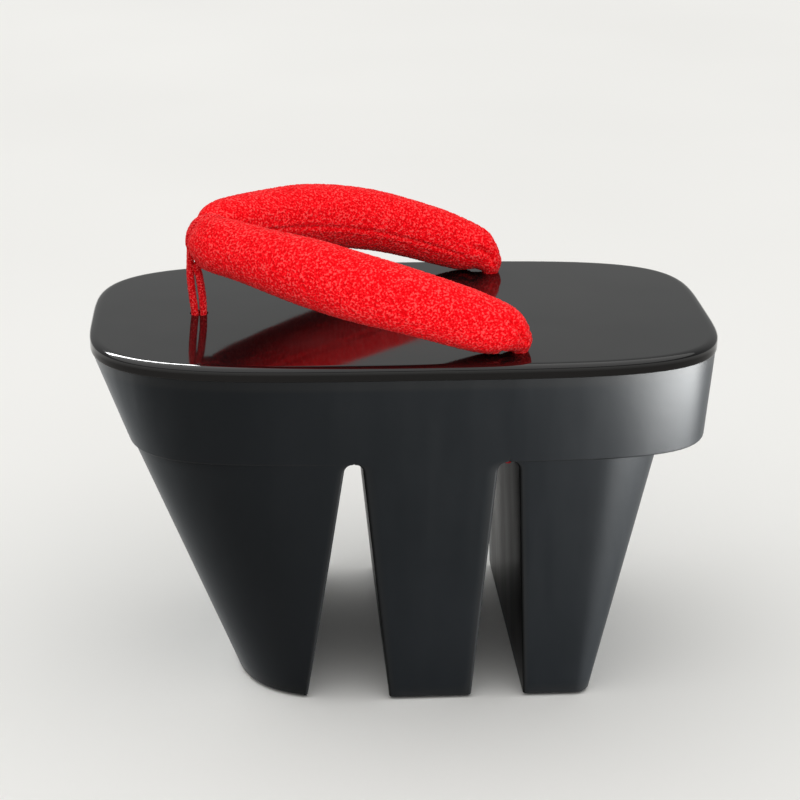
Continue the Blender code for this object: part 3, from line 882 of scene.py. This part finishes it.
def strap_section(center, heading, across, up, side=None):
    way = heading / np.linalg.norm(heading)
    if side is None:
        side = np.cross(way, (0, 0, 1))
        side /= np.linalg.norm(side)
    rise = np.cross(side, way)
    turn = np.linspace(0, 2 * pi, CAGE_SIDES, endpoint=False)[:, None]
    return center + side * across * np.cos(turn) + rise * up * np.sin(turn)


def arm_rings(plump):
    """One arm, from its tail under the deck to the middle plane; its tip can be plumper."""
    rows = []
    for along, out, lift, hug, across, up in STRAP_SECTIONS:
        under = DECK_TOP + GAP + lift * STRAP_LIFT
        rows.append((mix(REAR_HOLE_X, CROTCH_X, along), out * REAR_HOLE_Y,
                     under + hug * up * STRAP_RADIUS, across * STRAP_RADIUS, up * STRAP_RADIUS))
    rows = np.array(rows)
    dense, run = smooth_line(rows, DENSE_STEPS)
    fine = np.stack([np.interp(np.linspace(0, run[-1], CAGE_ROWS), run, column)
                     for column in dense.T], -1)
    crotch_z = DECK_TOP + GAP + STRAP_LIFT + CROTCH_HEIGHT
    groove = np.array([CROTCH_X, LOOP_WIDTH / 2 + 2 * GAP, crotch_z])
    below = np.array([REAR_HOLE_X, REAR_HOLE_Y, DECK_TOP - STRAP_RADIUS / 2])
    ahead = np.vstack([fine[1:, :3], groove])
    behind = np.vstack([below, fine[:-1, :3]])
    neck = REAR_BORE_RADIUS - GAP
    mouth = np.array([REAR_HOLE_X, REAR_HOLE_Y, DECK_TOP + GAP])
    way_out = np.array([REAR_GAP_X, REAR_HOLE_Y, TOOTH_TOP])
    down = mouth - way_out
    inward = np.array([0.0, -1.0, 0.0])
    rings = [strap_section(mix(way_out, mouth, share), down, neck, neck, inward)
             for share in TAIL_SHARES]
    for k, (row, nxt, last) in enumerate(zip(fine, ahead, behind)):
        tip = plump * smoothstep(*NEAR_TIP_RANGE, k / CAGE_ROWS)
        end = 1 - smoothstep(*REAR_END_RANGE, k / CAGE_ROWS)
        grow = CAGE_GROW + NEAR_TIP_GROW * tip + REAR_END_GROW * end
        center = row[:3] + np.array([NEAR_TIP_AHEAD * tip, 0, NEAR_TIP_GROW / 2 * tip * row[4]])
        rings.append(strap_section(center, nxt - last, grow * row[3], grow * row[4]))
    rings.append(strap_section(groove, inward, CROTCH_DEPTH, CROTCH_HEIGHT))
    middle = np.array([CROTCH_X, 0.0, crotch_z])
    rings.append(strap_section(middle, inward, CROTCH_DEPTH, CROTCH_HEIGHT))
    return rings


def make_strap(mat):
    left = arm_rings(1.0)
    right = [ring * np.array([1, -1, 1]) for ring in arm_rings(0.0)[-2::-1]]
    rings = left + right
    skin = Skin()
    rows = skin.loft(rings)
    skin.cap(rows[0])
    skin.cap(rows[-1])
    piece = new_piece("strap_plush", skin.verts, skin.faces, mat, 180)
    tidy_mesh(piece.data, FINE_MERGE)
    count = len(rings)
    pinned = [i * CAGE_SIDES + j for i in range(count) for j in range(CAGE_SIDES)
              if i < TAIL_ROWS + 2 or i > count - TAIL_ROWS - 3 or abs(i - count // 2) < 2]
    puff(piece, pinned)
    along = np.repeat(np.arange(count, dtype=float), CAGE_SIDES)
    around = np.tile(np.arange(CAGE_SIDES) / CAGE_SIDES, count)
    put_attribute(piece.data, "along", along)
    put_attribute(piece.data, "turn_x", np.cos(2 * pi * around))
    put_attribute(piece.data, "turn_y", np.sin(2 * pi * around))
    smooth = piece.modifiers.new("smooth", "SUBSURF")
    smooth.levels = smooth.render_levels = STRAP_SUBDIVISIONS
    apply_modifiers(piece)
    relief(piece.data, count)
    return piece


def puff(piece, pinned):
    """Blows the padded tube up by a short cloth simulation, then keeps the shape."""
    mesh = piece.data
    before = coordinates(mesh)
    group = piece.vertex_groups.new(name="pinned")
    group.add(pinned, 1.0, "REPLACE")
    cloth = piece.modifiers.new("cloth", "CLOTH")
    cloth.settings.quality = 6
    cloth.settings.mass = 0.02
    cloth.settings.vertex_group_mass = "pinned"
    cloth.settings.use_pressure = True
    cloth.settings.uniform_pressure_force = PUFF_PRESSURE
    cloth.settings.tension_stiffness = 0.5
    cloth.settings.compression_stiffness = 0.5
    cloth.settings.shear_stiffness = 0.3
    cloth.settings.bending_stiffness = 0.02
    cloth.settings.effector_weights.gravity = 0.0
    cloth.point_cache.frame_start = 1
    cloth.point_cache.frame_end = PUFF_FRAMES
    scene = bpy.context.scene
    for number in range(1, PUFF_FRAMES + 1):
        scene.frame_set(number)
    graph = bpy.context.evaluated_depsgraph_get()
    after = coordinates(piece.evaluated_get(graph).data)
    piece.modifiers.remove(cloth)
    piece.vertex_groups.clear()
    scene.frame_set(1)
    move = after - before
    size = np.linalg.norm(move, axis=1)
    print("puff: median %.2f mm, largest %.2f mm" % (np.median(size) * 1000, size.max() * 1000))
    move *= np.minimum(1.0, PUFF_CAP / np.maximum(size, 1e-9))[:, None]
    put_coordinates(mesh, before + move)


def relief(mesh, count):
    """Seam, pleats at the pinched ends and the crinkled nap, pushed along the normals."""
    along, turn_x, turn_y = (take_attribute(mesh, name) for name in ("along", "turn_x", "turn_y"))
    places = coordinates(mesh)
    middle = (count - 1) / 2
    place = middle - np.abs(along - middle)
    turn = np.degrees(np.arctan2(turn_y, turn_x))
    arm = (place - TAIL_ROWS) / CAGE_ROWS
    shift = np.zeros(len(places))
    from_seam = angle_apart(turn, SEAM_LINE)
    sewn = smoothstep(0.06, 0.16, arm) * (1 - smoothstep(0.86, 0.94, arm))
    shift -= SEAM_DEEP * np.exp(-(from_seam / SEAM_WIDE) ** 2) * sewn
    bank = (from_seam - SEAM_BANK_OFF) / SEAM_BANK_WIDE
    shift += SEAM_BANK_HIGH * np.exp(-bank ** 2) * sewn
    pinched = smoothstep(0.0, 0.02, arm) * (1 - smoothstep(0.045, 0.115, arm))
    wander = PLEAT_WANDER * np.sin(arm * 60)
    for line, wide, deep in PLEATS:
        off = angle_apart(turn, line + wander)
        shift -= deep * np.exp(-(off / wide) ** 2) * pinched
    squeeze = smoothstep(0.88, 0.97, arm) * (1 - smoothstep(1.0, 1.03, arm))
    start = np.where(along <= middle, 40.0, -40.0)
    wave = 0.5 + 0.5 * np.cos(np.radians(turn * TIP_PLEATS + start))
    shift -= TIP_PLEAT_DEEP * wave * squeeze
    nap = curls(places, NAP_SIZE, NAP_SEED, 0.9, 3.2)
    fuzz = np.array([noise.noise(Vector(point) / FUZZ_SIZE + NAP_SEED) for point in places])
    outside = smoothstep(TAIL_ROWS - 1.0, TAIL_ROWS + 0.5, place)
    shift += (NAP_HEIGHT * (nap - 0.45) + FUZZ_HEIGHT * fuzz) * outside
    places = places + normals(mesh) * shift[:, None]
    on_deck = place > TAIL_ROWS - 0.2
    places[:, 2] = np.where(on_deck, np.maximum(places[:, 2], DECK_TOP + GAP / 3), places[:, 2])
    put_coordinates(mesh, places)
    put_attribute(mesh, "nap", np.clip(nap + 0.25 * fuzz, 0, 1) * mix(0.5, 1.0, outside))


def angle_apart(turn, line):
    """How many degrees lie between the two, the shorter way round."""
    return np.abs((turn - line + 180) % 360 - 180)


def curls(places, size, seed, bend, sharp):
    """Height of the crinkled nap at the places, from 0 between its curls to 1 on them."""
    nap = np.empty(len(places))
    for i, point in enumerate(places):
        spot = Vector(point) / size
        wander = noise.noise_vector(spot * 0.7 + seed) * bend
        nap[i] = max(0.0, 1 - abs(noise.noise(spot + wander)) * sharp)
    return nap


# Toe loop

def post_center(offset, rise, lean):
    """Middle of a leg at a share of the strap's lift, leaning to the crotch by a share."""
    whole = CROTCH_X + CROTCH_DEPTH + GAP + LOOP_THICK - POST_DEPTH / 2 - TOE_HOLE_X
    return (TOE_HOLE_X + offset + lean * whole, DECK_TOP + rise * STRAP_LIFT)


def loop_path():
    """Up the front leg, over the crotch and down the rear leg, which runs beside the front one."""
    leg = LOOP_LEG_APART
    tail = KNOT_RECESS_Z + KNOT_RECESS_RADIUS - 0.001
    center_z = DECK_TOP + GAP + STRAP_LIFT + CROTCH_HEIGHT
    grow = GAP + LOOP_CLOTH / 2
    points = [(TOE_HOLE_X + leg - 0.0002, tail), (TOE_HOLE_X + leg - 0.0001, DECK_TOP - 0.012),
              (TOE_HOLE_X + leg - 0.0001, DECK_TOP), post_center(leg + 0.0001, 0.30, 0.38),
              post_center(leg + 0.0001, 0.75, 0.95)]
    for angle in range(-18, 263, 14):
        points.append((CROTCH_X + (CROTCH_DEPTH + grow) * cos(radians(angle)),
                       center_z + (CROTCH_HEIGHT + grow) * sin(radians(angle))))
    points += [post_center(-leg + 0.0010, 0.92, 0.90), post_center(-leg + 0.0005, 0.72, 0.72),
               post_center(-leg, 0.36, 0.32), (TOE_HOLE_X - leg + 0.0001, DECK_TOP),
               (TOE_HOLE_X - leg + 0.0001, DECK_TOP - 0.012), (TOE_HOLE_X - leg + 0.0002, tail)]
    rows = np.array([(x, 0.0, z) for x, z in points])
    dense, run = smooth_line(rows, LOOP_DENSE_STEPS)
    return np.stack([np.interp(np.arange(0, run[-1], LOOP_RING_APART), run, column)
                     for column in dense.T], -1)


def make_loop(mat):
    """A cloth strip folded over, wrapped over the crotch with both legs down the toe hole."""
    path = loop_path()
    way = np.gradient(path, axis=0)
    way /= np.linalg.norm(way, axis=1)[:, None]
    across = np.array([0.0, 1.0, 0.0])
    out = np.cross(across, way)
    turn = np.linspace(0, 2 * pi, LOOP_SIDES, endpoint=False)
    u = np.sign(np.cos(turn)) * np.abs(np.cos(turn)) ** (2 / LOOP_SQUARE)
    v = np.sign(np.sin(turn)) * np.abs(np.sin(turn)) ** (2 / LOOP_SQUARE)
    crease = 1 - LOOP_CREASE * np.exp(-(u / 0.22) ** 2) * (v > 0)
    rings = []
    for k, point in enumerate(path):
        deep = DECK_TOP - point[2]
        wide = LOOP_WIDTH / 2 * (1.0 if deep < 0.002 else 0.93)
        wide *= 1 + 0.03 * sin(k * 0.11)
        thick = LOOP_CLOTH / 2 * (1.0 if deep < 0.001 else 0.9)
        rings.append(point + across * (u * wide)[:, None]
                     + out[k] * (v * thick * crease)[:, None])
    skin = Skin()
    rows = skin.loft(rings)
    skin.cap(rows[0])
    skin.cap(rows[-1])
    piece = new_piece("toe_loop_cloth", skin.verts, skin.faces, mat, 70)
    tidy_mesh(piece.data, FINE_MERGE)
    places = coordinates(piece.data)
    nap = curls(places, NAP_SIZE * LOOP_NAP_SHARE, LOOP_NAP_SEED, 1.0, 3.0)
    lift = LOOP_NAP_HEIGHT * (nap - 0.6)
    put_coordinates(piece.data, places + normals(piece.data) * lift[:, None])
    put_attribute(piece.data, "nap", nap)
    return piece


# Knots

def make_knot(name, center, half, cord_radius, mat):
    """A twisted cord wound into a trefoil that fits the box of those half sizes."""
    angle = np.linspace(0, 2 * pi, KNOT_STEPS, endpoint=False)
    base = np.stack([np.sin(angle) + 2 * np.sin(2 * angle),
                     np.cos(angle) - 2 * np.cos(2 * angle), -1.25 * np.sin(3 * angle)], -1)
    base /= np.abs(base).max(axis=0)
    path = np.asarray(center) + base * (np.asarray(half) - cord_radius)
    way = np.roll(path, -1, axis=0) - np.roll(path, 1, axis=0)
    way /= np.linalg.norm(way, axis=1)[:, None]
    side = np.cross(way[0], (0.3, 0.2, 1.0))
    turn = np.linspace(0, 2 * pi, CORD_SIDES, endpoint=False)
    skin = Skin()
    rings, rows, strand_shade = [], [], []
    for k, point in enumerate(path):
        side = side - way[k] * (side @ way[k])
        side /= np.linalg.norm(side)
        rise = np.cross(way[k], side)
        twist = k * 2 * pi * CORD_TWISTS / KNOT_STEPS / CORD_STRANDS
        lay = np.cos(CORD_STRANDS * (turn - twist))
        r = cord_radius * (0.93 + 0.09 * lay)
        rings.append(point + side * (r * np.cos(turn))[:, None]
                     + rise * (r * np.sin(turn))[:, None])
        rows.append(skin.add(rings[-1]))
        # The strand's lay, 0 in the grooves and 1 on the crowns, drives the cord's painted groove
        # shade and crown highlight.
        strand_shade.extend(0.5 + 0.5 * lay)
    last = rings[-1][0] - path[-1]
    lag = int(np.argmin(np.linalg.norm(rings[0] - path[0] - last, axis=1)))
    for k, low in enumerate(rows):
        high = rows[(k + 1) % KNOT_STEPS]
        lead = lag if k == KNOT_STEPS - 1 else 0
        for i in range(CORD_SIDES):
            j = (i + 1) % CORD_SIDES
            skin.faces.append((low[i], low[j], high[(j + lead) % CORD_SIDES],
                               high[(i + lead) % CORD_SIDES]))
    piece = new_piece(name, skin.verts, skin.faces, mat, 180)
    put_attribute(piece.data, "strand_shade", strand_shade)
    tidy_mesh(piece.data, None)
    return piece


def make_knots(mat):
    """The knot in the toe's recess, and the ones that end the strap's left and right tails."""
    toe_z = KNOT_RECESS_Z + KNOT_RECESS_RADIUS - GAP - TOE_KNOT_RADIUS
    toe_half = (TOE_KNOT_RADIUS,) * 3
    front = make_knot("toe_knot", (TOE_HOLE_X, 0, toe_z), toe_half, TOE_KNOT_CORD, mat)
    half = (REAR_KNOT_LONG / 2, REAR_KNOT_WIDTH / 2, REAR_KNOT_HEIGHT / 2)
    rear_z = TOOTH_TOP - GAP - half[2]
    left = make_knot("left_tail_knot", (REAR_GAP_X, REAR_HOLE_Y, rear_z), half,
                     REAR_KNOT_CORD, mat)
    right = make_knot("right_tail_knot", (REAR_GAP_X, -REAR_HOLE_Y, rear_z), half,
                      REAR_KNOT_CORD, mat)
    return front, left, right


# Stage, light and camera

def make_stage():
    mat, shader = principled("floor_paper", (0.86, 0.855, 0.84), 0.85, Specular_IOR_Level=0.15)
    place = object_place(mat)
    soft = noise_node(mat, place, 1.6, 3, 0.5)
    wire(mat, ramp(mat, soft, ((0.3, (0.845, 0.84, 0.822)), (0.7, (0.885, 0.88, 0.862)))),
         shader.inputs["Base Color"])
    size = FLOOR_HALF
    floor = new_piece("floor", [(-size, -size, 0), (size, -size, 0), (size, size, 0),
                                (-size, size, 0)], [(0, 1, 2, 3)], mat)


def make_world():
    """Pale behind the sandal, dim towards the camera's side."""
    world = bpy.data.worlds.new("studio")
    bpy.context.scene.world = world
    world.use_nodes = True
    nodes, links = world.node_tree.nodes, world.node_tree.links
    shade = nodes["Background"]
    place = nodes.new("ShaderNodeTexCoord")
    parts = nodes.new("ShaderNodeSeparateXYZ")
    links.new(place.outputs["Generated"], parts.inputs[0])
    back = nodes.new("ShaderNodeMapRange")
    for key, value in (("From Min", -0.55), ("From Max", 0.35), ("To Min", 0.0), ("To Max", 1.0)):
        back.inputs[key].default_value = value
    links.new(parts.outputs["Y"], back.inputs["Value"])
    tone = nodes.new("ShaderNodeValToRGB")
    tone.color_ramp.elements[0].color = (0.42, 0.425, 0.42, 1)
    tone.color_ramp.elements[1].color = (0.22, 0.22, 0.22, 1)
    links.new(back.outputs["Result"], tone.inputs["Fac"])
    links.new(tone.outputs["Color"], shade.inputs["Color"])
    shade.inputs["Strength"].default_value = 1.0


def area_light(name, place, target, size, power, color, receivers):
    """A softbox at the place, turned to the target, that lights only its receivers."""
    data = bpy.data.lights.new(name, "AREA")
    data.shape = "RECTANGLE"
    data.size, data.size_y = size
    data.energy = power
    data.color = color
    light = bpy.data.objects.new(name, data)
    light.location = place
    light.rotation_euler = (Vector(target) - Vector(place)).to_track_quat("-Z", "Y").to_euler()
    light.visible_camera = False
    bpy.context.scene.collection.objects.link(light)
    group = bpy.data.collections.new(name + "_receivers")
    for piece in receivers:
        group.objects.link(piece)
    light.light_linking.receiver_collection = group


def make_lights(body, deck, strap, loop):
    sun = bpy.data.lights.new("dome", "SUN")
    sun.energy = 2.25
    sun.angle = radians(110)
    sun.color = (1.0, 0.995, 0.98)
    dome = bpy.data.objects.new("dome", sun)
    dome.rotation_euler = (radians(-10), radians(6), 0)
    bpy.context.scene.collection.objects.link(dome)
    area_light("heel_softbox", (-0.40, 0.20, 0.12), (-0.10, 0.02, 0.07), (0.46, 0.24), 33,
               (0.98, 1.0, 1.0), [body])
    area_light("toe_softbox", (0.50, -0.15, 0.20), (0.10, 0.0, 0.12), (0.50, 0.24), 68,
               (0.98, 1.0, 1.0), [body])
    area_light("rim_softbox", (0.25, -0.50, 0.60), (0.0, 0.0, 0.145), (0.5, 0.08), 4,
               (1.0, 1.0, 1.0), [deck])
    area_light("front_softbox", (-0.30, 0.80, 0.50), (0.02, 0.0, 0.16), (0.6, 0.6), 4.5,
               (1.0, 0.98, 0.98), [strap, loop])


def make_camera():
    data = bpy.data.cameras.new("photo_camera")
    data.sensor_width = CAMERA_SENSOR
    data.lens = CAMERA_LENS
    camera = bpy.data.objects.new("photo_camera", data)
    right = Vector(CAMERA_RIGHT).normalized()
    up = Vector(CAMERA_UP)
    up = (up - right * up.dot(right)).normalized()
    back = right.cross(up)
    pose = Matrix((right, up, back)).transposed().to_4x4()
    pose.translation = Vector(CAMERA_EYE)
    camera.matrix_world = pose
    bpy.context.scene.collection.objects.link(camera)
    bpy.context.scene.camera = camera


def dress_pads(mat):
    for name in ("front_pad", "middle_pad", "rear_pad"):
        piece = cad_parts[name]
        piece.data.materials.clear()
        piece.data.materials.append(mat)


def main():
    noise.seed_set(NOISE_SEED)
    scene = bpy.context.scene
    scene.view_settings.view_transform = "Standard"
    scene.view_settings.look = "None"
    deck = make_deck(deck_material())
    body = make_body(body_material())
    strap = make_strap(plush_material("crinkled_plush", PLUSH_TONES))
    loop = make_loop(plush_material("folded_cloth", CLOTH_TONES, 1.2))
    front, left, right = make_knots(cord_material())
    dress_pads(rubber_material())

    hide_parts("deck_board")
    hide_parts("sole_block", "front_tooth", "middle_tooth", "rear_tooth")
    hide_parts("strap")
    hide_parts("toe_loop")
    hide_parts("front_knot")
    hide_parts("left_knot")
    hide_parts("right_knot")
    for piece, slot in ((deck, "deck_lacquer"), (body, "body_lacquer"), (strap, "strap_plush"),
                        (loop, "loop_cloth"), (front, "knot_cord"), (left, "knot_cord"),
                        (right, "knot_cord")):
        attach(piece, "root")

    make_stage()
    make_world()
    make_lights(body, deck, strap, loop)
    make_camera()


main()
